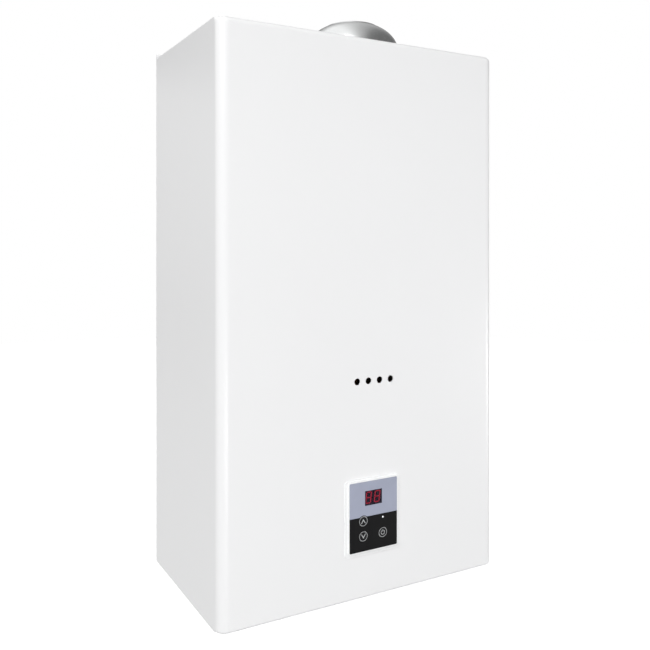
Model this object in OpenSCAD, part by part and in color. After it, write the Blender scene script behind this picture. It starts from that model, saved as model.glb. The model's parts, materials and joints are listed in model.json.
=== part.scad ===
// Wall-hung tankless gas water heater, in millimetres, +Z up, the front faces -Y.
// Origin: the middle of the four wall screw holes, on the back plane, which touches the wall.

/* [Casing] */
// Width of the casing
casing_w = 340; // [338:1:380]
// Height of the casing
casing_h = 590; // [580:1:640]
// Depth from the wall to the front face
casing_d = 200; // [198:1:230]
// Thickness of the cover's sheet
cover_sheet = 1; // [0.8:0.1:1.4]
// Thickness of the chassis sheet
chassis_sheet = 1.2; // [1:0.1:1.6]
// Radius of the two upright front edges
edge_r = 11; // [9:0.5:13]
// Radius of the top front edge
top_r = 5.5; // [4:0.5:7]
// Radius of the bottom front edge
bottom_r = 3; // [2.5:0.5:5]
// Depth of the cover's top and bottom lips
lip_depth = 26; // [25:1:34]
// How far the back plate rises above the cover
back_rise = 5; // [3:0.5:10]

/* [Wall mount] */
// Distance between the wall screw holes, across
wall_hole_dx = 300; // [280:1:306]
// Distance between the wall screw holes, up and down
wall_hole_dz = 520; // [480:1:530]
// Radius of the wall screw holes
wall_hole_r = 3.5; // [2.5:0.25:4]

/* [Flue collar] */
// Distance of the flue's centre to the right of the middle
flue_x = 38; // [26:1:40]
// Distance of the flue's centre from the wall
flue_back = 100; // [98:1:104]
// Outer radius of the straight band
flue_r = 55; // [52:0.5:62]
// Height of the straight band
flue_straight = 12; // [10:1:30]
// Height of the full dome that the rounded shoulder belongs to
flue_dome = 33; // [20:1:40]
// Radius of the mouth
mouth_r = 30; // [26:1:36]
// Thickness of the collar's sheet
flue_sheet = 1; // [0.8:0.1:1.5]
// Width of the collar's flange
flue_flange = 14; // [12:1:18]

/* [Sight holes] */
// Number of sight holes
sight_count = 4; // [2:1:6]
// Distance from one sight hole to the next
sight_pitch = 13.9; // [10:0.1:18]
// Radius of a sight hole
sight_r = 3.6; // [2:0.1:4.5]
// Height of the sight holes above the casing's bottom
sight_height = 228; // [222:0.5:240]
// Distance of the row's middle to the right of the casing's middle
sight_x = 5; // [-10:0.5:12]

/* [Control panel] */
// Width of the bezel
bezel_w = 68; // [64:0.5:76]
// Height of the bezel
bezel_h = 80; // [79:0.5:90]
// Distance of the panel's middle to the right of the casing's middle
bezel_x = 2.6; // [-10:0.2:10]
// Height of the bezel's middle above the casing's bottom
bezel_height = 86; // [82:0.1:95]
// How far the bezel stands out of the front face
bezel_proud = 3; // [2.8:0.1:4]
// Width of the overlay
overlay_w = 59.4; // [58:0.2:61]
// Height of the overlay
overlay_h = 72.6; // [71:0.2:75]
// Thickness of the overlay
overlay_t = 0.8; // [0.5:0.1:1]
// Thickness of the bezel's base flange
bezel_base = 1.2; // [0.8:0.1:1.8]
// Width of the bezel's raised rim beside the overlay
rim_w = 1.2; // [1:0.1:2]
// How far the overlay's middle lies above the bezel's middle
overlay_rise = 1; // [0:0.1:1.5]
// Width of the display window
window_w = 21.2; // [20.8:0.1:24]
// Height of the display window
window_h = 15.4; // [14.2:0.1:17]
// Height of the window's middle above the overlay's middle
window_rise = 18.5; // [16:0.5:20]
// Width of a digit on the display
digit_w = 6.9; // [6:0.1:7.3]
// Height of a digit on the display
digit_h = 12.4; // [10:0.1:12.8]
// Distance between the middles of the two digits
digit_pitch = 10.7; // [8.8:0.1:11]
// Width of a digit's lit bars
bar_t = 1; // [0.8:0.1:1.4]
// Angle in degrees by which the digits lean to the right
digit_lean = 7; // [0:0.5:9]
// Radius of a key's hole in the overlay
key_r = 5.4; // [4:0.1:5.6]
// How far a key moves
key_travel = 0.5; // [0.2:0.05:0.6]
// Distance of the arrow keys to the left of the overlay's middle
arrow_key_dx = 12.6; // [11:0.1:15]
// Distance of the power key to the right of the overlay's middle
power_key_dx = 11.7; // [10:0.1:14]
// Distance of the upper key row below the overlay's middle
upper_row_drop = 4.8; // [4:0.1:6]
// Distance of the lower key row below the overlay's middle
lower_row_drop = 20.6; // [18:0.1:23]
// Distance of the lamp below the overlay's middle
lamp_drop = 4.2; // [3.6:0.1:6]

/* [Combustion stack] */
// Width of the burner and the heat exchanger
stack_w = 170; // [152:1:188]
// Depth of the burner and the heat exchanger
stack_d = 124; // [112:1:136]
// Distance from the wall to the stack's rear face
stack_back = 20; // [18:1:26]
// Height of the burner's bottom above the casing's bottom
burner_height = 132; // [130:1:138]
// Height of the burner frame
burner_h = 76; // [72:1:80]
// Number of burner blades
blade_count = 9; // [6:1:10]
// Thickness of a burner blade
blade_t = 8; // [6:0.5:10]
// Height of the heat exchanger's shell
shell_h = 150; // [140:1:154]
// Number of tubes through the fins, an odd number
tube_count = 5; // [3:2:5]
// Distance from one tube to the next
tube_pitch = 22; // [20:0.5:23]
// Outer radius of the water tubes
tube_r = 8; // [7:0.25:8.5]
// Inner radius of the water tubes
tube_ri = 7; // [5.5:0.25:7.5]
// Height of the tubes above the shell's bottom
tube_height = 117; // [112:1:120]
// Number of fins
fin_count = 28; // [10:1:34]
// Height of the fins
fin_h = 44; // [36:1:48]
// Thickness of a fin
fin_t = 0.6; // [0.4:0.1:1]
// Height of the fume hood's lower box
hood_h = 34; // [30:1:38]

/* [Exhaust fan] */
// Radius of the impeller
impeller_r = 42; // [38:0.5:43]
// Width of the impeller
impeller_w = 42; // [34:1:44]
// Number of impeller blades
impeller_blades = 28; // [12:1:36]
// Gap between the impeller and the volute's tongue
tongue_gap = 5; // [3:0.5:7]
// How much the volute's radius grows over one turn
volute_growth = 21; // [18:0.5:24]
// Depth of the volute
volute_d = 60; // [56:1:62]
// Radius of the volute's inlet eye
eye_r = 30; // [26:0.5:31]
// Radius of the motor can
motor_r = 29; // [26:0.5:32]
// Length of the motor can
motor_l = 38; // [34:1:44]
// Radius of the fan's shaft
shaft_r = 3; // [2.5:0.25:4]

/* [Pipes and ports] */
// Outer radius of the threaded ports
port_r = 10.48; // [9.5:0.01:11]
// Bore of the threaded ports
port_ri = 7.2; // [5:0.1:8]
// How far the ports stand out below the casing
port_drop = 30; // [24:1:40]
// Distance of the cold and hot ports from the middle
port_x = 122; // [112:1:132]
// Distance of the gas port to the right of the middle
gas_x = 2; // [0:1:4]
// Distance of the drain knob to the right of the middle
drain_x = 90; // [88:1:93]
// Radius of the pipes' bends, along their middle line
bend_r = 15; // [12:1:18]
// Outer radius of the flow sensor
sensor_r = 17; // [16:0.5:20]
// Length of the flow sensor
sensor_l = 46; // [42:1:56]

/* [Gas valve] */
// Width of the gas valve
valve_w = 56; // [50:1:58]
// Depth of the gas valve
valve_d = 92; // [84:1:100]
// Height of the gas valve
valve_h = 55; // [50:1:60]
// Height of the gas valve's bottom above the casing's bottom
valve_height = 50; // [44:1:56]
// Radius of the solenoid coils
coil_r = 13; // [11:0.5:15]
// Length of the solenoid coils
coil_l = 32; // [30:1:36]
// Radius of the plungers
plunger_r = 4; // [3:0.25:5]
// How far a plunger lifts
plunger_travel = 2.5; // [1:0.25:3]

/* [Electronics] */
// Width of the control box
control_w = 70; // [66:1:71]
// Depth of the control box
control_d = 120; // [110:1:124]
// Height of the control box
control_h = 92; // [80:1:110]
// Radius of the cable gland's bore
gland_r = 3.5; // [2.5:0.25:4.5]

/* [Hidden] */
$fn = 48;

// Clearances: a seat between pieces, a turning or sliding fit, a screw in its hole, a slipped-in sheet
seat_gap = 0.3;
run_gap = 0.06;
screw_gap = 0.15;
slip_gap = 0.4;
cut = 1;

// The casing's planes
z_top = casing_h / 2;
z_bot = -casing_h / 2;
y_front = -casing_d;
panel_top = z_top - cover_sheet - slip_gap;
panel_under = panel_top - chassis_sheet;
panel_bot = z_bot + cover_sheet + slip_gap;
panel_floor = panel_bot + chassis_sheet;
panel_half = casing_w / 2 - cover_sheet - slip_gap;
panel_front = y_front + edge_r + 2;
panel_flange = 14;

// Screws of the chassis and the cover
screw_r = 2;
screw_head_r = 4;
screw_head_h = 2.6;
cover_screw_x = 110;
cover_screw_y = y_front + edge_r + 9;
panel_screw_x = 100;
collar_screw_r = flue_r + flue_flange / 2;
collar_screw_angles = [45 : 90 : 315];

// Gasket, flue and fan duct
gasket_t = 1.5;
flue_y = -flue_back;
flue_base = panel_top + gasket_t;
flue_hole_r = 44;

// Combustion stack
stack_half = stack_w / 2;
stack_rear = -stack_back;
stack_front = stack_rear - stack_d;
stack_mid = (stack_rear + stack_front) / 2;
burner_z = z_bot + burner_height;
shell_z = burner_z + burner_h;
hood_z = shell_z + shell_h;
hood_top = hood_z + hood_h;
flange_w = 6;
tube_z = shell_z + tube_height;
tube_row = [for (i = [0 : tube_count - 1]) stack_mid + ((tube_count - 1) / 2 - i) * tube_pitch];
tube_end = stack_half + tube_r + 1;
sight_z = z_bot + sight_height;
slot_w = (sight_count - 1) * sight_pitch + 4 * sight_r;
slot_h = 2.4 * sight_r;
chamber_z = shell_z + 12;
blade_room = stack_w - 2 * chassis_sheet - 12;
blade_pitch = blade_room / blade_count;
blade_x = [for (i = [0 : blade_count - 1]) (i - (blade_count - 1) / 2) * blade_pitch];
jet_z = burner_z + 14;
jet_r = 3;
jet_hole_r = 5;
electrode_x = [25 - stack_half, stack_half - 25, stack_half - 11];
electrode_l = 16;
bracket_x = stack_half - 20;
thermostat_x = 25 - stack_half;

// Ports
port_y = tube_row[0];
port_z = z_bot - port_drop;
port_neck_r = port_r + 1;
port_neck_drop = 2;
port_flange_r = port_r + 4.5;
port_flange_t = 4;
inlet_top = z_bot + 34;
sensor_top = inlet_top + sensor_l;
outlet_top = z_bot + 33;
drain_z = z_bot + 20;
drain_r = 8;
spindle_r = 4;

// Fan
fan_r0 = impeller_r + tongue_gap;
tongue_angle = 70;
fan_end_r = fan_r0 + volute_growth;
tongue_u = fan_r0 * cos(tongue_angle);
fan_x = flue_x - (tongue_u + fan_end_r) / 2;
fan_bottom_r = fan_r0 + volute_growth * (270 - tongue_angle) / (360 - tongue_angle);
fan_z = hood_top + fan_bottom_r + chassis_sheet + 2;
duct_top = panel_under;
volute_rear = flue_y + volute_d / 2;
volute_front = volute_rear - volute_d;
hub_r = 8;
impeller_rear = volute_rear - 8;
impeller_front = impeller_rear - impeller_w;
eye_hole_r = eye_r + 3;
riser_half = fan_r0 + 1;
motor_wall = 1.5;
bearing_r = 7;
bearing_l = 7;
rotor_r = motor_r - 10;
motor_core = [volute_front - motor_l + motor_wall + bearing_l + 1, volute_front - motor_wall - bearing_l - 1];

// Gas valve and manifold
valve_rear = port_y + 12;
valve_front = valve_rear - valve_d;
valve_z = z_bot + valve_height;
valve_line = valve_z + 30;
valve_right = gas_x + valve_w / 2;
plunger_y = [port_y - 22, port_y - 56];
manifold_y = stack_front - 11.5;
manifold_t = 13;
manifold_h = 20;
manifold_half = stack_half - 1;
riser_r = 7.5;
riser_bend = 22;

// Control panel
panel_x = bezel_x;
bezel_z = z_bot + bezel_height;
overlay_z = bezel_z + overlay_rise;
bezel_front = y_front - bezel_proud;
overlay_front = bezel_front + 0.4;
overlay_back = overlay_front + overlay_t;
tray_w = overlay_w - 2;
tray_h = overlay_h - 2;
tray_wall = 1.6;
tray_depth = 12;
window_z = overlay_z + window_rise;
window_ledge = 0.6;
board_t = 1.6;
board_y = y_front + 8;
module_w = 25;
module_h = 18.6;
module_front = y_front + 0.3;
display_face = overlay_back + 0.6;
face_w = window_w - 2 * window_ledge - 0.4;
face_h = window_h - 2 * window_ledge - 0.4;
key_gap = 0.25;
key_pocket = key_travel + 0.3;
stem_r = 1.75;
switch_w = 6;
switch_h = 3.5;
led_r = 0.9;
up_key = [panel_x - arrow_key_dx, overlay_z - upper_row_drop];
down_key = [panel_x - arrow_key_dx, overlay_z - lower_row_drop];
power_key = [panel_x + power_key_dx, overlay_z - lower_row_drop];
lamp = [panel_x + power_key_dx, overlay_z - lamp_drop];
header = [panel_x + 17, overlay_z - 16];

// Electronics
control_x = -69;
control_rear = -30;
control_front = control_rear - control_d;
control_wall = 2;
gland_x = 18.6 - panel_half;
gland_y = port_y - 28;
gland_nut_r = 9;
igniter_x = [panel_half - 56.6, panel_half - 8.6];
igniter_z = [hood_z - 5, hood_z + 45];
igniter_d = 34;
nipple_x = (igniter_x[0] + igniter_x[1]) / 2 - 1;
nipple_z = (igniter_z[0] + igniter_z[1]) / 2;
switch_x = panel_half - 50.6;
switch_z = z_bot + 485;
switch_r = 24;
switch_d = 22;
switch_nose = 7.7;
tap_z = switch_z - 29;
tap_r = 3;
tap_ri = 2;
tap_l = 7;

// The leads' routes: how each runs between its two seats
display_route = [[20, -182, 68], [17, -175, 66], [8, -170, 60], [-8, -167, 54], [-24, -164, 51],
                 [-38, -161, 52], [-47, -158, 55], [-50, -155, 57], [-50, -152.3, 57]];
ignition_route = [[135, -35.5, 378], [135, -48, 378], [137, -64, 372], [139, -82, 356], [140, -98, 334],
                  [140, -112, 310], [138, -126, 288], [133, -140, 268], [124, -153, 250], [112, -164, 236],
                  [99, -171, 227], [88, -173.5, 222], [80, -172, 220.5], [75.5, -168.5, 220],
                  [74, -164.5, 220], [74, -160.3, 220]];
hose_route = [[118, -31.2, 485], [118, -44, 485], [115, -60, 485], [108, -78, 480], [96, -92, 472],
              [82, -99, 462], [74, -100, 456], [66.5, -100, 456]];

// A box between two values on each axis
module block(x, y, z) {
    translate([x[0], y[0], z[0]])
        cube([x[1] - x[0], y[1] - y[0], z[1] - z[0]]);
}

// Round bars along each axis
module bar_x(x, y, z, r) {
    translate([x[0], y, z])
        rotate([0, 90, 0])
            cylinder(h = x[1] - x[0], r = r);
}

module bar_y(x, y, z, r) {
    translate([x, y[0], z])
        rotate([-90, 0, 0])
            cylinder(h = y[1] - y[0], r = r);
}

module bar_z(x, y, z, r) {
    translate([x, y, z[0]])
        cylinder(h = z[1] - z[0], r = r);
}

// A flat shape drawn in X and Z, as thick as the range y
module plate_y(y) {
    translate([0, y[1], 0])
        rotate([90, 0, 0])
            linear_extrude(y[1] - y[0])
                children();
}

// A rectangle with round corners about its middle
module round_rect(w, h, r) {
    square([w - 2 * r, h], center = true);
    square([w, h - 2 * r], center = true);
    for (x = [-1, 1], z = [-1, 1])
        translate([x * (w / 2 - r), z * (h / 2 - r)])
            circle(r);
}

function arc(cx, cy, r, from, to, steps) =
    [for (i = [0 : steps]) let (a = from + (to - from) * i / steps) [cx + r * cos(a), cy + r * sin(a)]];

// A quarter of a bent bar: in the plane of X and Z it leaves upwards and turns to -X
module quarter_xz(x, y, z, bend, r) {
    translate([x - bend, y, z - bend])
        rotate([90, 0, 0])
            rotate_extrude(angle = 90)
                translate([bend, 0])
                    circle(r);
}

// A quarter of a bent bar in the plane of Y and Z, about a centre, from a start angle
module quarter_yz(x, y, z, from, bend, r) {
    translate([x, y, z])
        rotate([90, 0, 90])
            rotate([0, 0, from])
                rotate_extrude(angle = 90)
                    translate([bend, 0])
                        circle(r);
}

// A soft lead or hose swept along a route, with eight sides
function unit(v) = v / norm(v);
function heading(p, i) = unit(p[min(i + 1, len(p) - 1)] - p[max(i - 1, 0)]);
// The route with both ends on their seats, the points between moved in proportion
function seated(route, start, finish) =
    let (n = len(route) - 1, a = start - route[0], b = finish - route[n])
        [for (i = [0 : n]) let (t = min(max((i - 1) / (n - 2), 0), 1)) route[i] + a * (1 - t) + b * t];
module lead(shape, start, finish, r) {
    route = seated(shape, start, finish);
    n = len(route);
    sides = 8;
    ref = unit([0.35, 0.2, 1]);
    ring = [for (i = [0 : n - 1], k = [0 : sides - 1])
        let (t = heading(route, i), u = unit(cross(ref, t)), v = cross(t, u), a = 360 * k / sides)
            route[i] + r * (u * cos(a) + v * sin(a))];
    skin = [for (i = [0 : n - 2], k = [0 : sides - 1], half = [0, 1])
        let (a = i * sides + k, b = i * sides + (k + 1) % sides)
            half == 0 ? [a, a + sides, b] : [b, a + sides, b + sides]];
    start = [for (k = [0 : sides - 1]) k];
    finish = [for (k = [0 : sides - 1]) n * sides - 1 - k];
    polyhedron(points = ring, faces = concat([start], skin, [finish]), convexity = 6);
}

// The cover: the outline of the casing, drawn in by the sheet's thickness for the inside
module edge_disc(r, edge) {
    rotate_extrude($fn = 40)
        polygon(concat([[0, -edge]], arc(r - edge, 0, edge, -90, 90, 10), [[0, edge]]));
}

module casing_block(inset) {
    corner_x = casing_w / 2 - edge_r;
    hull() {
        for (side = [-1, 1]) {
            translate([side * corner_x, y_front + edge_r, z_top - top_r])
                edge_disc(edge_r - inset, top_r - inset);
            translate([side * corner_x, y_front + edge_r, z_bot + bottom_r])
                edge_disc(edge_r - inset, bottom_r - inset);
        }
        block([-casing_w / 2 + inset, casing_w / 2 - inset],
              [panel_front - seat_gap, -chassis_sheet - seat_gap],
              [z_bot + inset, z_top - inset]);
    }
}

module front_cover() {
    inner = casing_w / 2 - cover_sheet;
    slot_r = screw_r + 2 * seat_gap;
    color("whitesmoke")
        difference() {
            casing_block(0);
            casing_block(cover_sheet);
            block([-inner, inner], [-chassis_sheet - seat_gap - 3, cut],
                  [z_bot + cover_sheet, z_top - cover_sheet]);
            for (z = [z_bot - cut, z_top - cover_sheet - cut])
                block([-inner, inner], [y_front + lip_depth, cut], [z, z + cover_sheet + 2 * cut]);
            for (x = [-1, 1], z = [z_bot, z_top - cover_sheet]) {
                bar_z(x * cover_screw_x, cover_screw_y, [z - cut, z + cover_sheet + cut], slot_r);
                block([x * cover_screw_x - slot_r, x * cover_screw_x + slot_r],
                      [cover_screw_y, y_front + lip_depth + cut], [z - cut, z + cover_sheet + cut]);
            }
            bar_z(flue_x, flue_y, [z_top - cover_sheet - cut, z_top + cut], flue_r + flue_flange + 1);
            for (i = [0 : sight_count - 1])
                bar_y(sight_x + (i - (sight_count - 1) / 2) * sight_pitch,
                      [y_front - cut, y_front + cover_sheet + cut], sight_z, sight_r);
            block([panel_x - tray_w / 2 - slip_gap, panel_x + tray_w / 2 + slip_gap],
                  [y_front - cut, y_front + cover_sheet + cut],
                  [overlay_z - tray_h / 2 - slip_gap, overlay_z + tray_h / 2 + slip_gap]);
        }
}

// Control panel
module at_panel(z) {
    translate([panel_x, 0, z])
        children();
}

module panel_bezel() {
    post_x = tray_w / 2 - tray_wall - 4;
    post_z = tray_h / 2 - tray_wall - 4;
    color("white")
        difference() {
            union() {
                at_panel(bezel_z)
                    plate_y([y_front - bezel_base, y_front])
                        round_rect(bezel_w, bezel_h, 4);
                at_panel(overlay_z) {
                    plate_y([bezel_front, y_front])
                        round_rect(overlay_w + 2 * rim_w, overlay_h + 2 * rim_w, 2.5);
                    plate_y([y_front - cut / 2, y_front + tray_depth])
                        difference() {
                            square([tray_w, tray_h], center = true);
                            square([tray_w - 2 * tray_wall, tray_h - 2 * tray_wall], center = true);
                        }
                    for (x = [-1, 1]) {
                        for (z = [-1, 1])
                            bar_y(x * post_x, [y_front - cut / 2, board_y], z * post_z, 2.5);
                        block([x * tray_w / 2 - 1.2, x * tray_w / 2 + 1.2],
                              [y_front + cover_sheet + 0.1, y_front + cover_sheet + 2.6], [-6, 6]);
                    }
                }
            }
            at_panel(overlay_z)
                plate_y([bezel_front - cut, overlay_back])
                    round_rect(overlay_w + 2 * run_gap, overlay_h + 2 * run_gap, 1.5);
            at_panel(window_z)
                plate_y([overlay_back - cut, y_front + cut])
                    square([window_w - 2 * window_ledge, window_h - 2 * window_ledge], center = true);
            for (key = [up_key, down_key, power_key]) {
                bar_y(key[0], [overlay_back - cut, overlay_back + key_pocket], key[1], key_r + 0.1);
                bar_y(key[0], [overlay_back - cut, y_front + cut], key[1], stem_r + slip_gap);
            }
            bar_y(lamp[0], [overlay_back - cut, y_front + cut], lamp[1], led_r + run_gap);
        }
}

module panel_overlay() {
    color("slategray")
        difference() {
            at_panel(overlay_z)
                plate_y([overlay_front, overlay_back])
                    round_rect(overlay_w, overlay_h, 1.5);
            at_panel(window_z)
                plate_y([overlay_front - cut, overlay_back + cut])
                    square([window_w, window_h], center = true);
            for (key = [up_key, down_key, power_key])
                bar_y(key[0], [overlay_front - cut, overlay_back + cut], key[1], key_r);
            bar_y(lamp[0], [overlay_front - cut, overlay_back + cut], lamp[1], led_r + run_gap);
        }
}

module display_window() {
    color([0.1, 0.05, 0.06, 0.6])
        at_panel(window_z)
            plate_y([overlay_front, overlay_back])
                square([window_w - 2 * run_gap, window_h - 2 * run_gap], center = true);
}

// One bar of a digit, leaning as the digit does
module digit_bar(x, z, w, h) {
    corners = [[x - w / 2, z - h / 2], [x + w / 2, z - h / 2], [x + w / 2, z + h / 2], [x - w / 2, z + h / 2]];
    polygon([for (p = corners) [p[0] + p[1] * tan(digit_lean), p[1]]]);
}

// Seven bars with small gaps between them
module digit() {
    bar_gap = 0.25;
    for (z = [-1, 0, 1])
        digit_bar(0, z * (digit_h - bar_t) / 2, digit_w - 2 * bar_t - 2 * bar_gap, bar_t);
    for (x = [-1, 1], z = [-1, 1])
        digit_bar(x * (digit_w - bar_t) / 2, z * (digit_h - bar_t) / 4,
                  bar_t, (digit_h - bar_t) / 2 - 2 * bar_gap);
}

module display_digits() {
    color("red")
        for (x = [-1, 1])
            translate([panel_x + x * digit_pitch / 2, 0, window_z])
                plate_y([display_face - 0.3, display_face])
                    digit();
}

module display_module() {
    color("dimgray")
        at_panel(window_z) {
            block([-module_w / 2, module_w / 2], [module_front, board_y], [-module_h / 2, module_h / 2]);
            block([-face_w / 2, face_w / 2], [display_face, module_front + 1], [-face_h / 2, face_h / 2]);
        }
}

module display_board() {
    header_wall = 1;
    board_w = tray_w - 2 * tray_wall - slip_gap;
    board_h = tray_h - 2 * tray_wall - slip_gap;
    color("seagreen")
        difference() {
            union() {
                at_panel(overlay_z)
                    block([-board_w / 2, board_w / 2], [board_y, board_y + board_t],
                          [-board_h / 2, board_h / 2]);
                block([header[0] - 6, header[0] + 6], [board_y + board_t, board_y + board_t + 6],
                      [header[1] - 4, header[1] + 4]);
            }
            block([header[0] - 6 + header_wall, header[0] + 6 - header_wall],
                  [board_y + board_t + 1, board_y + board_t + 6 + cut],
                  [header[1] - 4 + header_wall, header[1] + 4 - header_wall]);
        }
}

module status_led() {
    color("white")
        bar_y(lamp[0], [overlay_front, board_y], lamp[1], led_r);
}

module key_switches() {
    color("black")
        for (key = [up_key, down_key, power_key])
            difference() {
                block([key[0] - switch_w / 2, key[0] + switch_w / 2], [board_y - switch_h, board_y],
                      [key[1] - switch_w / 2, key[1] + switch_w / 2]);
                bar_y(key[0], [board_y - switch_h - cut, board_y - 1], key[1], stem_r + run_gap);
            }
}

// A key: the printed disc of the overlay, its stem and the switch's push pin
module key(place) {
    color("black") {
        bar_y(place[0], [overlay_front, overlay_back], place[1], key_r - key_gap);
        bar_y(place[0], [overlay_back - overlay_t / 2, board_y - switch_h + 1], place[1], stem_r);
    }
}

// Chassis
module back_plate() {
    outer = casing_w / 2;
    rim = panel_half;
    color("gainsboro")
        difference() {
            union() {
                block([-outer, outer], [-chassis_sheet, 0], [z_bot, z_top + back_rise]);
                for (x = [-rim, rim - chassis_sheet])
                    block([x, x + chassis_sheet], [-16, -chassis_sheet / 2],
                          [panel_floor + panel_flange + 4, panel_under - panel_flange - 4]);
            }
            for (x = [-1, 1], z = [-1, 1])
                bar_y(x * wall_hole_dx / 2, [-chassis_sheet - cut, cut], z * wall_hole_dz / 2, wall_hole_r);
            for (x = [-1, 1], z = [panel_floor + 8, panel_under - 8])
                bar_y(x * panel_screw_x, [-chassis_sheet - cut, cut], z, screw_r + screw_gap);
            translate([0, 0, z_top - 40]) {
                bar_y(0, [-chassis_sheet - cut, cut], 0, 6);
                bar_y(0, [-chassis_sheet - cut, cut], 11, wall_hole_r);
                block([-wall_hole_r, wall_hole_r], [-chassis_sheet - cut, cut], [0, 11]);
            }
        }
}

// A tray of sheet that closes the casing's top or, mirrored, its bottom
module closing_tray(outer_face) {
    inner_face = outer_face - chassis_sheet;
    t = chassis_sheet;
    block([-panel_half, panel_half], [panel_front, -chassis_sheet], [inner_face, outer_face]);
    for (x = [-panel_half, panel_half - t])
        block([x, x + t], [panel_front, -chassis_sheet - 3], [inner_face - panel_flange, inner_face + t / 2]);
    for (y = [panel_front, -chassis_sheet - t])
        block([-panel_half + t + 1, panel_half - t - 1], [y, y + t],
              [inner_face - panel_flange, inner_face + t / 2]);
}

module tray_screw_holes(outer_face) {
    inner_face = outer_face - chassis_sheet;
    for (x = [-1, 1]) {
        bar_z(x * cover_screw_x, cover_screw_y, [inner_face - cut, outer_face + cut], screw_r + screw_gap);
        bar_y(x * panel_screw_x, [-2 * chassis_sheet - cut, -chassis_sheet], inner_face - 8,
              screw_r + screw_gap);
    }
}

module top_panel() {
    color("gainsboro")
        difference() {
            closing_tray(panel_top);
            tray_screw_holes(panel_top);
            bar_z(flue_x, flue_y, [panel_under - cut, panel_top + cut], flue_hole_r);
            for (a = collar_screw_angles)
                bar_z(flue_x + collar_screw_r * cos(a), flue_y + collar_screw_r * sin(a),
                      [panel_under - cut, panel_top + cut], screw_r + screw_gap);
        }
}

module bottom_panel() {
    slot = [5, 30];
    color("gainsboro")
        difference() {
            mirror([0, 0, 1])
                closing_tray(-panel_bot);
            mirror([0, 0, 1])
                tray_screw_holes(-panel_bot);
            for (x = [-port_x, gas_x, port_x])
                bar_z(x, port_y, [panel_bot - cut, panel_floor + cut], port_neck_r + slip_gap);
            bar_z(drain_x, port_y, [panel_bot - cut, panel_floor + cut], drain_r + slip_gap);
            bar_z(gland_x, gland_y, [panel_bot - cut, panel_floor + cut], gland_nut_r - 3 + screw_gap);
            for (i = [0 : 9])
                block([-20 + 14 * i, -20 + 14 * i + slot[0]], [port_y - 42 - slot[1], port_y - 42],
                      [panel_bot - cut, panel_floor + cut]);
        }
}

// A cross-head screw standing on its head's underside, its shank pointing down
module screw(length) {
    rim_h = screw_head_h - 0.9;
    difference() {
        union() {
            cylinder(h = rim_h, r = screw_head_r);
            translate([0, 0, rim_h])
                cylinder(h = screw_head_h - rim_h, r1 = screw_head_r, r2 = screw_head_r - 1);
            translate([0, 0, -length])
                cylinder(h = length + rim_h / 2, r = screw_r);
        }
        for (a = [0, 90])
            rotate([0, 0, a])
                block([-2.2, 2.2], [-0.45, 0.45], [rim_h / 2 + 0.2, screw_head_h + cut]);
    }
}

module casing_screws() {
    color("silver") {
        for (x = [-1, 1]) {
            translate([x * cover_screw_x, cover_screw_y, z_top + seat_gap])
                screw(8);
            translate([x * cover_screw_x, cover_screw_y, z_bot - seat_gap])
                mirror([0, 0, 1])
                    screw(8);
            for (z = [panel_floor + 8, panel_under - 8])
                translate([x * panel_screw_x, -2 * chassis_sheet, z])
                    rotate([90, 0, 0])
                        screw(2 * chassis_sheet);
        }
        for (a = collar_screw_angles)
            translate([flue_x, flue_y, flue_base + flue_sheet] + collar_screw_r * [cos(a), sin(a), 0])
                screw(8);
    }
}

// Brackets from the back plate to the burner and to the fume hood
module bracket(x, z) {
    t = 2;
    block([x - 10, x + 10], [stack_rear, -chassis_sheet], [z, z + t]);
    for (y = [stack_rear, -chassis_sheet - t])
        block([x - 10, x + 10], [y, y + t], [z - 10, z + t]);
}

module stack_brackets() {
    color("silver")
        for (x = [-bracket_x, bracket_x], z = [burner_z + 20, hood_z + 20])
            bracket(x, z);
}

// Flue
module flue_collar() {
    mouth_angle = acos(mouth_r / flue_r);
    steps = 12;
    angles = [for (i = [0 : steps]) mouth_angle * i / steps];
    outside = [for (a = angles) [flue_r * cos(a), flue_straight + flue_dome * sin(a)]];
    inside = [for (a = angles)
        [(flue_r - flue_sheet) * cos(a), flue_straight + (flue_dome - flue_sheet) * sin(a)]];
    backwards = [for (i = [0 : steps]) inside[steps - i]];
    color("silver")
        translate([flue_x, flue_y, flue_base])
            difference() {
                union() {
                    rotate_extrude($fn = 96)
                        polygon(concat([[flue_r - flue_sheet, 0], [flue_r + flue_flange, 0],
                                        [flue_r + flue_flange, flue_sheet], [flue_r, flue_sheet]],
                                       outside, backwards));
                    translate([0, 0, outside[steps][1] - 1])
                        rotate_extrude($fn = 96)
                            translate([mouth_r, 0])
                                circle(1.5, $fn = 24);
                }
                for (a = collar_screw_angles)
                    bar_z(collar_screw_r * cos(a), collar_screw_r * sin(a), [-cut, flue_sheet + cut],
                          screw_r + screw_gap);
            }
}

module collar_gasket() {
    color("dimgray")
        translate([flue_x, flue_y, panel_top])
            difference() {
                cylinder(h = gasket_t, r = flue_r + flue_flange);
                translate([0, 0, -cut])
                    cylinder(h = gasket_t + 2 * cut, r = flue_r - flue_sheet);
                for (a = collar_screw_angles)
                    bar_z(collar_screw_r * cos(a), collar_screw_r * sin(a), [-cut, gasket_t + cut],
                          screw_r + screw_gap);
            }
}

// Fan: the scroll's outline in X and Z about the shaft, grown by a wall
function scroll_r(a) = fan_r0 + volute_growth * (a - tongue_angle) / (360 - tongue_angle);
module scroll(grow, top) {
    steps = 29;
    polygon([for (i = [0 : steps]) let (a = tongue_angle + (360 - tongue_angle) * i / steps)
        (scroll_r(a) + grow) * [cos(a), sin(a)]]);
    translate([tongue_u - grow, 0])
        square([fan_end_r - tongue_u + 2 * grow, top]);
}

module at_fan() {
    translate([fan_x, 0, fan_z])
        children();
}

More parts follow.
